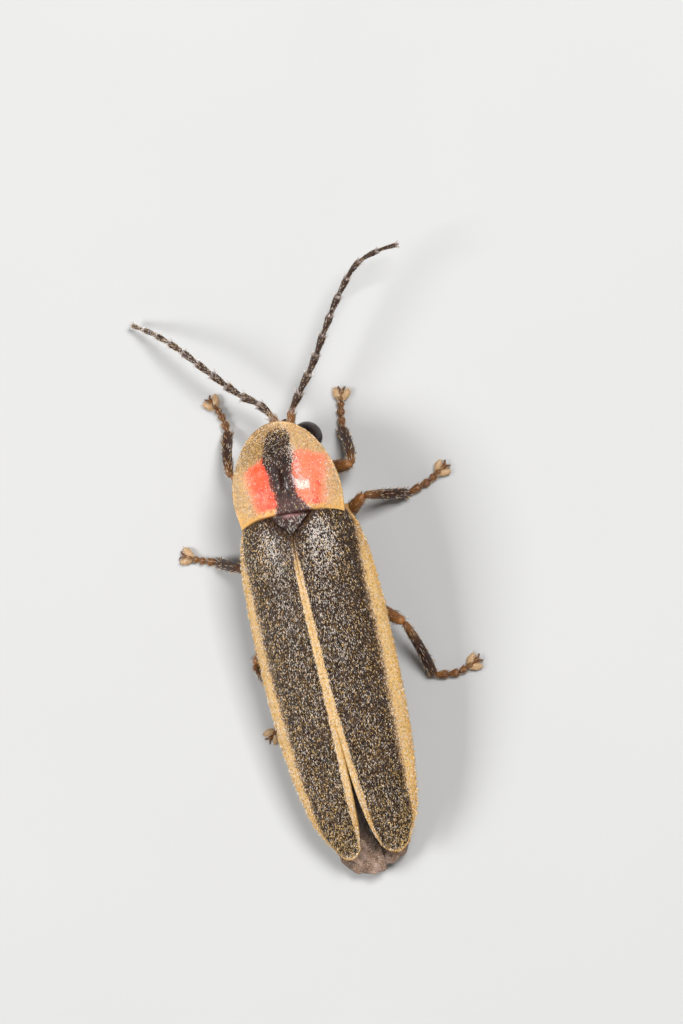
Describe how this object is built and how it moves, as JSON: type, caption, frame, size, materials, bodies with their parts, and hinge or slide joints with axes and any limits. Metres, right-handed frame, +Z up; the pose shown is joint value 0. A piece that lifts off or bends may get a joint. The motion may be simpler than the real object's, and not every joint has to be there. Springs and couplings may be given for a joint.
{
  "type": "firefly",
  "caption": "Life-size still model of a firefly standing on its feet, its feelers spread forward and its wing covers closed over folded wings.",
  "frame": {"origin": "middle of the animal's box seen from above, on the floor that its feet stand on", "axes": "+Z up, -Y the way the head points, +X the animal's left"},
  "size_m": [0.0083, 0.0166, 0.0034],
  "materials": {
    "shield": "tan shell with a fine grain and short gold hairs",
    "cover": "dark brown shell with fine pale hairs and pale edges",
    "membrane": "smoky wrinkled membrane with raised veins",
    "cuticle": "dark brown shell, satin",
    "light_organ": "pale cream shell, satin",
    "eye": "black, glossy, finely faceted",
    "leg": "amber to dark red-brown shell, satin, hairy",
    "feeler": "dark brown with pale bristles"
  },
  "bodies": {
    "root": {"abdomen": "cuticle", "antenna_left": "feeler", "antenna_right": "feeler", "elytron_left": "cover", "elytron_right": "cover", "eye_left": "eye", "eye_right": "eye", "head": "cuticle", "hindwing_left": "membrane", "hindwing_right": "membrane", "lantern": "light_organ", "leg_front_left": "leg", "leg_front_right": "leg", "leg_hind_left": "leg", "leg_hind_right": "leg", "leg_mid_left": "leg", "leg_mid_right": "leg", "mouthparts": "cuticle", "pronotum": "shield", "prothorax": "cuticle", "pygidium": "cuticle", "scutellum": "cuticle", "thorax": "cuticle"}
  },
  "joints": []
}
